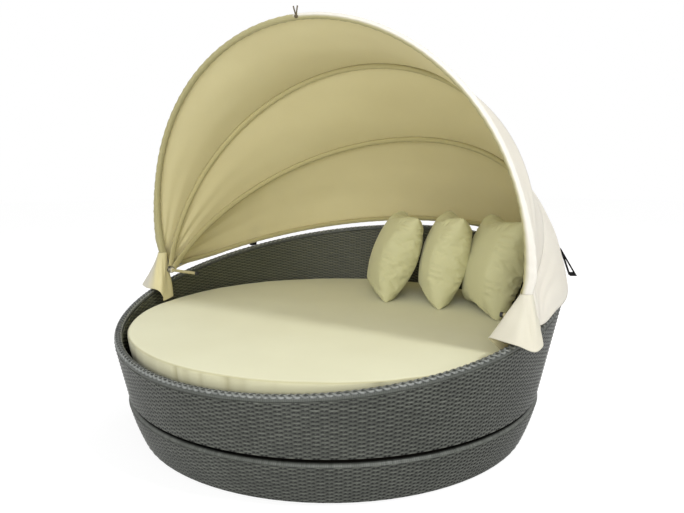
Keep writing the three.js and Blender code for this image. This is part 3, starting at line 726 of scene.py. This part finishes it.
# Throw pillows
pillow = {
    "size": 0.422, "thick": 0.184, "seam": 0.006, "draw": 0.06, "crown": 0.5, "corner": 0.06, "cuts": 30,
    "beforePuff": 0.8, "dents": 0.004, "dentScale": 0.25, "dentSeed": 20, "pucker": 0.10, "puckerRun": 150,
    "puckerSway": 3, "swayRun": 37, "puckerFrom": (0.62, 0.86), "puckerEnd": (0.95, 1.0), "sink": 0.004,
}
puff = {
    "voxel": 0.006, "pressure": 4, "quality": 5, "tension": 12, "shrink": -0.02, "frames": 20, "cap": 0.022,
}
pillowPlaces = [
    {"x": 0.002, "y": 0.500, "turn": 52, "lean": 21},
    {"x": 0.254, "y": 0.498, "turn": 58, "lean": 14},
    {"x": 0.502, "y": 0.443, "turn": 50, "lean": 15},
]


def pillowPoints(flat, index):
    # a cube's points as a cushion with a crown, drawn-in sides and blunt corners
    fill = pillow["beforePuff"]
    p, q = np.sin(flat[:, 0] * math.pi / 2), np.sin(flat[:, 2] * math.pi / 2)
    full = np.maximum((1 - p * p) * (1 - q * q), 0) ** pillow["crown"]
    half = pillow["seam"] / 2 + pillow["thick"] / 2 * fill * full
    corner = 1 - pillow["corner"] * (p * q) ** 4
    across = p * (1 - pillow["draw"] * (1 - q * q) * p * p) * corner
    up = q * (1 - pillow["draw"] * (1 - p * p) * q * q) * corner
    points = np.stack([across * pillow["size"] / 2, flat[:, 1] * half, up * pillow["size"] / 2], -1)
    place = points * (1, 0, 1) + flat[:, 1:2]
    points[:, 1] += pillow["dents"] * full * ripple(place, pillow["dentScale"], pillow["dentSeed"] + index)
    return points


def puffed(piece):
    # blows the pillow up as cloth, no further than the cap anywhere
    remesh = piece.modifiers.new("remesh", "REMESH")
    remesh.mode = "VOXEL"
    remesh.voxel_size = puff["voxel"]
    bakeModifiers(piece)
    start = pointsOf(piece.data)
    cloth = piece.modifiers.new("cloth", "CLOTH")
    cloth.settings.use_pressure = True
    cloth.settings.uniform_pressure_force = puff["pressure"]
    cloth.settings.effector_weights.gravity = 0
    cloth.settings.quality = puff["quality"]
    cloth.settings.tension_stiffness = puff["tension"]
    cloth.settings.shrink_min = puff["shrink"]
    cloth.point_cache.frame_start = 1
    cloth.point_cache.frame_end = puff["frames"]
    for step in range(1, puff["frames"] + 1):
        bpy.context.scene.frame_set(step)
    bakeModifiers(piece)
    bpy.context.scene.frame_set(1)
    shift = pointsOf(piece.data) - start
    far = np.linalg.norm(shift, axis=1, keepdims=True)
    movePoints(piece.data, start + shift * np.minimum(1, puff["cap"] / np.maximum(far, hair)))
    subdivision = piece.modifiers.new("subdivision", "SUBSURF")
    subdivision.levels = subdivision.render_levels = 1
    bakeModifiers(piece)


def makePillow(index, spot):
    name = f"throw_pillow_{index}"
    bm = bmesh.new()
    bmesh.ops.create_cube(bm, size=2)
    bmesh.ops.subdivide_edges(bm, edges=bm.edges, cuts=pillow["cuts"], use_grid_fill=True)
    mesh = bpy.data.meshes.new(name)
    bm.to_mesh(mesh)
    bm.free()
    movePoints(mesh, pillowPoints(pointsOf(mesh), index))
    piece = link(name, mesh)
    puffed(piece)
    rest = pointsOf(piece.data)
    aside, high = np.abs(rest[:, 0]), np.abs(rest[:, 2])
    edge = np.maximum(aside, high) / (pillow["size"] / 2)
    run = np.where(aside > high, rest[:, 2], rest[:, 0])
    nearSeam = smooth(edge, *pillow["puckerFrom"]) * (1 - smooth(edge, *pillow["puckerEnd"]))
    sway = pillow["puckerSway"] * np.sin(run * pillow["swayRun"] + index)
    rest[:, 1] *= 1 + pillow["pucker"] * nearSeam * np.sin(run * pillow["puckerRun"] + sway)
    lean = Matrix.Rotation(-math.radians(spot["lean"]), 3, "X")
    turn = Matrix.Rotation(-math.radians(spot["turn"]), 3, "Z") @ lean
    rest = rest @ np.array(turn).T
    rest += np.array([spot["x"], spot["y"], mattress["top"] - pillow["sink"] - rest[:, 2].min()])
    movePoints(piece.data, rest)
    piece.data.shade_smooth()
    finished(piece, pillowCloth, "seat", [f"pillow_{index}"])


for index, spot in enumerate(pillowPlaces, 1):
    makePillow(index, spot)
print("pillows done")

# Canopy bows as in the part: half width at the pivots, rise, reach and angle
bows = {
    "front": {"half": 0.808, "rise": 0.185, "reach": 0.8, "angle": math.radians(95.2)},
    "second": {"half": 0.794, "rise": 0.16, "reach": 0.785, "angle": math.radians(66.1)},
    "third": {"half": 0.78, "rise": 0.17, "reach": 0.803, "angle": math.radians(36.4)},
}
rail = {"half": 0.8235, "lift": 0.035, "backLift": 0.011, "out": 0.012, "ease": math.radians(25)}
cloth = {
    "start": 0.028, "columns": 220, "rows": 26, "width": 0.52, "area": 0.95, "over": 0.0106,
    "thickness": 0.0016, "looseReach": 0.14, "hangZone": (0.02, 0.24), "leastSpan": 0.03,
    "knot": (0.864, -0.138, 0.502), "pull": 0.93, "pullReach": 0.2,
}
gather = {
    "depth": 0.0045, "pleats": 3, "mix": (0.7, 0.5), "reach": 0.12, "fall": 1.3, "sway": 5, "cross": 2.3,
}
billows = {"depth": 0.0035, "scale": 0.62, "octaves": 2, "across": 3.0, "along": 2.2}
blendEnds = ((0, 0.5, 0.6), (0, 0, 1.4))


def bowLine(name, start=cloth["start"]):
    bow = bows[name]
    across = bow["half"] / math.sqrt(1 - (bow["rise"] / bow["reach"]) ** 2)
    begin = math.asin((start - bow["rise"]) / bow["reach"])

    def line(share):
        t = math.pi - begin - (math.pi - 2 * begin) * share
        x, r = -across * np.cos(t), bow["rise"] + bow["reach"] * np.sin(t)
        nx, nr = -np.cos(t) / across, np.sin(t) / bow["reach"]
        size = np.hypot(nx, nr)
        nx, nr = nx / size, nr / size
        c, s = math.cos(bow["angle"]), math.sin(bow["angle"])
        point = np.stack([x, pivot["y"] + r * c, pivot["z"] + r * s], -1)
        return point, np.stack([nx, nr * c, nr * s], -1)

    return line


pivotAngle = math.asin(pivot["y"] / rimRadius(0.0))
bracketX = rimRadius(pivotAngle) * math.cos(pivotAngle)


def railLine(start=cloth["start"]):
    begin = math.asin((pivot["y"] + start) / bracketX)

    def centre(share):
        angle = begin + (math.pi - 2 * begin) * share
        distance = math.pi / 2 - np.abs(angle - math.pi / 2) - pivotAngle
        eased = smooth(distance, 0, rail["ease"])
        startOut, startLift = rail["half"] - bracketX, pivot["z"] - rimZ(pivotAngle)
        out = startOut + (rail["out"] - startOut) * eased
        lift = startLift + (rail["lift"] - startLift) * eased + rail["backLift"] * np.sin(angle) ** 2 * eased
        return rimSection(angle, out, lift)

    def line(share):
        step = 1e-3
        point = centre(share)
        along = unit(centre(share + step) - centre(share - step))
        upward = bowLine("third", start)(share)[0] - point
        outward = unit(np.cross(along, upward))
        outward *= np.sign(np.sum(outward * point * (1, 1, 0), -1))[:, None]
        return point, outward

    return line


# Sag is a share of the span, loose the lift off the lower and upper line near the pivots, and hang how
# far the lower edge hangs past its line at the sides and at the middle
panels = [
    {
        "name": "canopy_front", "stands": "front_panel", "length": 2.7, "seed": 1,
        "lines": (bowLine("second"), bowLine("front")), "bodies": ("second_bow", "front_bow"),
        "sag": 0.06, "loose": (0.03, 0), "hang": (0, 0), "held": 1,
    },
    {
        "name": "canopy_middle", "stands": "middle_panel", "length": 2.7, "seed": 2,
        "lines": (bowLine("third"), bowLine("second")), "bodies": ("third_bow", "second_bow"),
        "sag": 0.034, "loose": (0.03, 0.03), "hang": (0, 0), "held": 0,
    },
    {
        "name": "canopy_back", "stands": "rear_panel", "length": 2.9, "seed": 3,
        "lines": (railLine(), bowLine("third")), "bodies": ("seat", "third_bow"),
        "sag": -0.08, "loose": (0.006, 0.03), "hang": (0.03, 0.004), "held": 0,
    },
]


def panelShape(panel, share, up):
    # the cloth between its two lines, and how far each point is from the pivots
    low, high = panel["lines"]
    (sideHang, middleHang), (lowLoose, highLoose) = panel["hang"], panel["loose"]
    seed = panel["seed"]
    lowPoint, lowOut = low(share)
    highPoint, highOut = high(share)
    span = np.linalg.norm(highPoint - lowPoint, axis=1)
    edge = np.minimum(share, 1 - share)
    hang = sideHang + (middleHang - sideHang) * smooth(edge, *cloth["hangZone"])
    drop = hang * (1 - up) ** 4 / np.maximum(span, cloth["leastSpan"])
    point = lowPoint + (highPoint - lowPoint) * (up - drop)[:, None]
    outward = unit(lowOut * (1 - up)[:, None] + highOut * up[:, None])
    bulge = 4 * up * (1 - up)
    near = np.exp(-((edge / gather["reach"]) ** gather["fall"]))
    plain, crossing = gather["mix"]
    pleat = np.sin(up * gather["pleats"] * fullTurn + seed + gather["sway"] * share) * plain
    pleat = pleat + crossing * np.sin(up * gather["cross"] * gather["pleats"] * math.pi + 2 * seed)
    place = np.stack([share * billows["across"], up * span * billows["along"], up * 0], -1)
    broad = ripple(place, billows["scale"], seed, billows["octaves"])
    fromPivot = pivotDistance(point)
    nearPivot = 1 - smooth(fromPivot, cloth["start"], cloth["looseReach"])
    loose = (lowLoose * (1 - up) + highLoose * up) * nearPivot
    lift = cloth["over"] - panel["sag"] * span * bulge + loose
    lift = lift + gather["depth"] * near * pleat * np.sqrt(bulge) + billows["depth"] * broad * bulge
    return point + outward * lift[:, None], fromPivot


def makePanel(panel):
    def place(u, v):
        # the cloth's ends are drawn together at one point beside each pivot
        share, up = u / cloth["columns"], v / cloth["rows"]
        point, fromPivot = panelShape(panel, share, up)
        end = panelShape(panel, np.rint(share), up)[0]
        knot = np.tile(cloth["knot"], (len(end), 1))
        knot[:, 0] *= np.sign(end[:, 0])
        pull = cloth["pull"] * (1 - smooth(fromPivot, cloth["start"], cloth["pullReach"]))
        return point + (knot - end) * (pull * (1 - panel["held"] * up**4))[:, None], {"Up": up}

    piece = gridPiece(panel["name"], cloth["columns"], cloth["rows"], place, closed=False)
    thicken(piece, cloth["thickness"], inside=1)
    finished(piece, canopyCloth, None, [panel["stands"]])
    # inner faces in the khaki copy of the cloth, painted warm shade
    piece.data.materials.append(canopyShadedInside)
    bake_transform(piece, *panel["bodies"], *blendEnds)
    ups = np.zeros(len(piece.data.vertices), np.float32)
    piece.data.attributes["Up"].data.foreach_get("value", ups)
    weights = piece.data.attributes["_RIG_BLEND"]
    weights.data.foreach_set("value", ups)  # each strip turns by its own share of the fold
    sayArea(piece)


for panel in panels:
    makePanel(panel)
print("canopy cloth done")

# Cloth sleeves round the bows and the rear rail
waveMix = (0.6, 0.4)  # how much of the broad and the fine wrinkles sleeves and cuffs have
lug = {"length": 0.125, "flat": 0.022, "half": 0.0152, "depth": 0.0055, "zone": (0.09, 0.135)}
tube = {
    "columns": 320, "rows": 16, "thickness": 0.001, "start": 0.014, "cuffStart": 0.066,
    "slackZone": (0.05, 0.45), "wrinkles": (420, 900), "leftShadeRamp": (-0.98, -0.85),
}


def alongLug(name, start):
    # a bow's line that follows its flattened end near the pivots
    line, half = bowLine(name, start), bows[name]["half"]
    tubeX = abs(bowLine(name, lug["length"])(np.zeros(1))[0][0, 0])

    def bent(share):
        point, outward = line(share)
        fromPivot = pivotDistance(point)
        straight = np.interp(fromPivot, [0, lug["flat"], lug["length"]], [half, half, tubeX])
        near = fromPivot < lug["length"]
        point[:, 0] = np.where(near, np.sign(point[:, 0]) * straight, point[:, 0])
        return point, outward

    return bent


# Aside is a sleeve's half width along the cloth and outside across it
sleeves = [
    {
        "name": "front_sleeve", "body": "front_bow", "line": alongLug("front", tube["cuffStart"]),
        "cloth": frontHem, "flat": (2.65, 0.086), "aside": 0.0145, "outside": 0.0112,
        "wrinkle": 0.0012, "slack": 0.022, "rightShadeRamp": (-0.25, 0.15),
    },
    {
        "name": "second_sleeve", "body": "second_bow", "line": alongLug("second", tube["start"]),
        "cloth": sleeveCloth, "flat": (2.65, 0.072), "aside": 0.0125, "outside": 0.0104,
    },
    {
        "name": "third_sleeve", "body": "third_bow", "line": alongLug("third", tube["start"]),
        "cloth": sleeveCloth, "flat": (2.7, 0.072), "aside": 0.0125, "outside": 0.0104,
    },
    {
        "name": "rear_hem", "body": "seat", "line": railLine(tube["start"]),
        "cloth": sleeveCloth, "flat": (2.75, 0.07), "aside": 0.0115, "outside": 0.0106,
    },
]


def makeSleeve(sleeve):
    line, aside, outside = sleeve["line"], sleeve["aside"], sleeve["outside"]
    wrinkle, slack = sleeve.get("wrinkle", 0.0006), sleeve.get("slack", 0)
    rightShadeRamp = sleeve.get("rightShadeRamp", tube["leftShadeRamp"])

    def place(u, v):
        share = u / tube["columns"]
        step = 1e-4
        point, outward = line(share)
        along = unit(line(share + step)[0] - line(share - step)[0])
        sideways = np.cross(outward, along)
        turn = v / tube["rows"] * fullTurn
        broad, fine = tube["wrinkles"]
        waves = np.sin(share * broad + 2 * np.sin(turn)) * waveMix[0]
        waves = waves + np.sin(share * fine + turn * 2) * waveMix[1]
        fold = 1 + wrinkle / outside * waves
        fromPivot = pivotDistance(point)
        flatness = 1 - smooth(fromPivot, *lug["zone"])
        x = (aside + (lug["half"] - aside) * flatness) * np.cos(turn) * fold
        y = (outside + (lug["depth"] - outside) * flatness) * np.sin(turn) * fold
        y = y + slack * np.maximum(np.sin(turn), 0) * (1 - smooth(fromPivot, *tube["slackZone"]))
        under = -np.sin(turn)
        onLeft = point[:, 0] < 0
        # painted shade on the inner side: most of the way round, but only the inner half on the front
        # sleeve's right
        inside = np.where(onLeft, smooth(under, *tube["leftShadeRamp"]), smooth(under, *rightShadeRamp))
        return point + sideways * x[:, None] + outward * y[:, None], {"Inside": inside}

    piece = gridPiece(sleeve["name"], tube["columns"], tube["rows"], place)
    thicken(piece, tube["thickness"], -1)
    finished(piece, sleeve["cloth"], sleeve["body"])


for sleeve in sleeves:
    makeSleeve(sleeve)
print("sleeves done")

# Cuffs over the rim at the pivots
cuff = {
    "columns": 96, "rows": 44, "spread": 1.05, "folds": 0.006, "waves": (19, 37), "foldEnd": 0.8,
    "opening": 0.4, "collar": (0.828, -0.1478, 0.603), "collarWide": 0.0188, "collarDeep": 0.0178,
    "middle": (0.815, -0.165, 0), "flat": (0.36, 0.18), "area": 0.05, "foot": (0.8, -0.18, 0.42),
    "keep": 0.55,
}
# Each hem goes from the outside back, round the front, to the inside back, as on the right hand side;
# the pair gives where along it the painted shade of the half that hangs inside the wall starts
cuffs = [
    {
        "name": "left_cuff", "stands": "cuff_left", "side": -1, "shadeRamp": (0.3, 0.5),
        "hem": [
            (0.880, -0.115, 0.500), (0.905, -0.165, 0.475), (0.900, -0.210, 0.460), (0.848, -0.235, 0.456),
            (0.800, -0.250, 0.457), (0.765, -0.252, 0.458), (0.742, -0.245, 0.447), (0.742, -0.228, 0.420),
            (0.750, -0.222, 0.404), (0.761, -0.186, 0.403), (0.784, -0.138, 0.404),
        ],
    },
    {
        "name": "right_cuff", "stands": "cuff_right", "side": 1, "shadeRamp": (0.78, 0.95),
        "hem": [
            (0.868, -0.125, 0.498), (0.875, -0.150, 0.482), (0.890, -0.175, 0.467), (0.898, -0.200, 0.457),
            (0.891, -0.225, 0.448), (0.876, -0.240, 0.450), (0.840, -0.250, 0.464), (0.793, -0.245, 0.468),
            (0.738, -0.225, 0.467), (0.752, -0.205, 0.441), (0.777, -0.160, 0.405), (0.785, -0.133, 0.405),
        ],
    },
]


def through(points, share):
    # a smooth line through the points, at shares from 0 to 1
    points = np.array(points)
    padded = np.vstack([2 * points[0] - points[1], points, 2 * points[-1] - points[-2]])
    place = np.clip(share, 0, 1) * (len(points) - 1)
    index = np.minimum(place.astype(int), len(points) - 2)
    t = (place - index)[:, None]
    a, b, c, d = (padded[index + k] for k in range(4))
    curve = (2 * a - 5 * b + 4 * c - d) * t**2 + (3 * b - a - 3 * c + d) * t**3
    return 0.5 * (2 * b + (c - a) * t + curve)


def makeCuff(side, name, stands, hem, shadeRamp):
    def place(u, v):
        around, down = u / cuff["columns"], v / cuff["rows"]
        turn = cuff["opening"] + (fullTurn - 2 * cuff["opening"]) * around
        ring = np.stack([cuff["collarWide"] * np.sin(turn), cuff["collarDeep"] * np.cos(turn), 0 * turn], -1)
        top, bottom = ring + cuff["collar"], through(hem, around)
        wide = (down ** cuff["spread"])[:, None]
        point = top + (bottom - top) * np.concatenate([wide, wide, down[:, None]], 1)
        outward = unit((point - cuff["middle"]) * (1, 1, 0))
        broad, fine = cuff["waves"]
        wave = np.sin(around * broad + side + 2 * down) * waveMix[0]
        wave = wave + np.sin(around * fine + 2 * side - 2 * down) * waveMix[1]
        folds = cuff["folds"] * wave * np.sin(down * math.pi * cuff["foldEnd"]) ** 2
        point = point + outward * folds[:, None]
        # painted shade on the half of the cuff that hangs inside the wall
        return point * (side, 1, 1), {"Inside": smooth(around, *shadeRamp)}

    piece = gridPiece(name, cuff["columns"], cuff["rows"], place, closed=False)
    if side < 0:
        piece.data.flip_normals()
    thicken(piece, cloth["thickness"], inside=1)
    finished(piece, cuffCloth, "seat", [stands])
    # inner faces in the khaki copy of the cloth, painted warm shade
    piece.data.materials.append(canopyShadedInside)
    sayArea(piece)
    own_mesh(piece)


for values in cuffs:
    makeCuff(**values)
print("cuffs done")

# Webbing loops and knotted tape ends, softened from their solids
webbing = {"round": 0.0009, "segments": 3, "sharp": math.radians(50), "flatFaces": math.radians(2)}
webbingCloth = clothFinish("webbing_cloth", (17, 17, 18), (8, 8, 9), 0.0019, sheen=0)
tapeCloth = clothFinish("tape_cloth", (104, 94, 72), (66, 58, 44), 0.0012, sheen=0)


def softened(name, node, body, material):
    source = cadNodes[node]
    mesh = source.data.copy()
    mesh.transform(source.matrix_world)
    bm = bmesh.new()
    bm.from_mesh(mesh)
    bmesh.ops.remove_doubles(bm, verts=bm.verts, dist=mergeDistance)
    bmesh.ops.dissolve_limit(bm, angle_limit=webbing["flatFaces"], verts=bm.verts, edges=bm.edges)
    sharp = [edge for edge in bm.edges if edge.calc_face_angle(0) > webbing["sharp"]]
    bmesh.ops.bevel(
        bm,
        geom=sharp,
        offset=webbing["round"],
        segments=webbing["segments"],
        profile=0.5,
        material=-1,
        affect="EDGES",
        clamp_overlap=True,
    )
    bmesh.ops.recalc_face_normals(bm, faces=bm.faces)
    bm.to_mesh(mesh)
    bm.free()
    mesh.shade_smooth()
    piece = link(name, mesh)
    finished(piece, material, body, [node])
    sayArea(piece, 2)


for side in ("left", "right"):
    softened(f"webbing_loop_{side}", f"strap_{side}", "seat", webbingCloth)
softened("tape_ends", "canopy_tie", "front_bow", tapeCloth)
print("webbing done")

# Finishes of the parts that stay as the CAD nodes
plainLook = {
    "detail": 4, "toneRange": (0.3, 0.7), "wearFiner": 3, "wearDetail": 3, "wearSwing": 0.1,
    "grainFiner": 12, "grainDetail": 2, "grainDepth": 0.0002, "grainStrength": 0.4,
}


def plainFinish(name, light, dark, roughness, metallic, scale):
    finish = Finish(name, roughness, {"Metallic": metallic})
    cloud = finish.between(finish.noise(scale, plainLook["detail"]), 0, 1, *plainLook["toneRange"])
    finish.colour(finish.blend(cloud, shade(*dark), shade(*light)))
    wear = finish.noise(scale * plainLook["wearFiner"], plainLook["wearDetail"])
    finish.rough(finish.between(wear, roughness - plainLook["wearSwing"], roughness + plainLook["wearSwing"]))
    grain = finish.noise(scale * plainLook["grainFiner"], plainLook["grainDetail"])
    finish.bump(grain, plainLook["grainDepth"], plainLook["grainStrength"])
    return finish.material


cadFinishes = {
    "frame": plainFinish("powder_coat", (72, 72, 70), (58, 58, 57), 0.5, 0.3, 60),
    "bow_tube": plainFinish("satin_aluminium", (176, 174, 168), (150, 148, 142), 0.35, 0.9, 30),
    "plate_steel": plainFinish("black_steel", (46, 45, 43), (34, 33, 32), 0.5, 0.6, 50),
    "bolt_steel": plainFinish("oiled_steel", (64, 60, 54), (42, 39, 35), 0.4, 0.9, 80),
    "nylon": plainFinish("nylon", (222, 217, 200), (208, 202, 184), 0.5, 0, 60),
    "grip_plastic": plainFinish("grip_plastic", (178, 168, 124), (162, 152, 110), 0.5, 0, 50),
    "black_plastic": plainFinish("black_plastic", (38, 38, 40), (26, 26, 28), 0.55, 0, 90),
    "deck_board": plainFinish("deck_board", (156, 136, 104), (128, 108, 80), 0.7, 0, 12),
}
for part in frame["record"]["subparts"]:
    node, slotName = part["node"], part["material_slot"]
    if slotName in cadFinishes and not cadNodes[node].hide_render:
        cadNodes[node].data.materials.clear()
        cadNodes[node].data.materials.append(cadFinishes[slotName])
print("finishes done")

# Floor and sky. What the camera sees of them is white, and what lights the object is plainer.
floor = {
    "radius": 14.0, "segments": 96, "roughness": 0.9, "specular": 0.1, "noise": (0.6, 2), "white": 0.75,
    "whiteStrength": 1.12,
}
sky = {"strength": 0.62, "seenStrength": 1.0}
plainWhite = (1, 1, 1, 1)

bm = bmesh.new()
bmesh.ops.create_circle(bm, cap_ends=True, segments=floor["segments"], radius=floor["radius"])
floorMesh = bpy.data.meshes.new("floor")
bm.to_mesh(floorMesh)
bm.free()
floorPiece = link("floor", floorMesh)
floorFinish = Finish("pale_floor", floor["roughness"], {"Specular IOR Level": floor["specular"]})
cloud = floorFinish.noise(*floor["noise"])
floorFinish.colour(floorFinish.blend(cloud, shade(248, 248, 248), shade(252, 252, 252)))
floorGlow = floorFinish.node(
    "ShaderNodeEmission", {}, {"Color": plainWhite, "Strength": floor["whiteStrength"]}
)
seen = floorFinish.anyRay("Is Camera Ray", "Is Glossy Ray", "Is Transmission Ray")
floorFinish.mixIn(seen * floor["white"], floorGlow)
floorPiece.data.materials.append(floorFinish.material)

world = bpy.data.worlds.new("studio")
bpy.context.scene.world = world
world.use_nodes = True
world.node_tree.nodes.clear()
skyNodes = Nodes(world.node_tree)
lit, shown = (
    skyNodes.node("ShaderNodeBackground", {}, {"Color": plainWhite, "Strength": sky[key]})
    for key in ("strength", "seenStrength")
)
seen = skyNodes.anyRay("Is Camera Ray", "Is Glossy Ray")
skyMix = skyNodes.node("ShaderNodeMixShader", {}, {0: seen, 1: lit.outputs[0], 2: shown.outputs[0]})
skyNodes.node("ShaderNodeOutputWorld", {}, {"Surface": skyMix.outputs[0]})

# Lamps, all aimed at the middle of the daybed
lamps = [
    {"name": "key", "place": (2.9, -0.55, 5.0), "size": 0.5, "power": 110},
    {"name": "fill", "place": (2.1, -4.6, 2.2), "size": 3.0, "power": 140},
    {"name": "back", "place": (-1.4, 4.2, 2.4), "size": 2.6, "power": 90},
]
lampAim = Vector((0, 0, 0.4))
for lamp in lamps:
    data = bpy.data.lights.new(lamp["name"], "AREA")
    data.size = lamp["size"]
    data.energy = lamp["power"]
    light = link(lamp["name"], data)
    light.location = lamp["place"]
    light.rotation_euler = (lampAim - light.location).to_track_quat("-Z", "Y").to_euler()

# Camera where the photograph was taken from; focal and width are in pixels
view = {
    "place": (1.44274, -2.10969, 1.03185), "yaw": 0.58602, "pitch": -0.15510, "roll": -0.00408,
    "focal": 650, "width": 684, "sensor": 36,
}
cameraData = bpy.data.cameras.new("camera")
cameraData.sensor_width = view["sensor"]
cameraData.lens = view["focal"] * view["sensor"] / view["width"]
camera = link("camera", cameraData)
aim = Matrix.Rotation(view["yaw"], 4, "Z") @ Matrix.Rotation(math.pi / 2 + view["pitch"], 4, "X")
camera.matrix_world = Matrix.Translation(view["place"]) @ aim @ Matrix.Rotation(view["roll"], 4, "Z")
bpy.context.scene.camera = camera
bpy.context.scene.view_settings.view_transform = "Standard"
print("stage done")
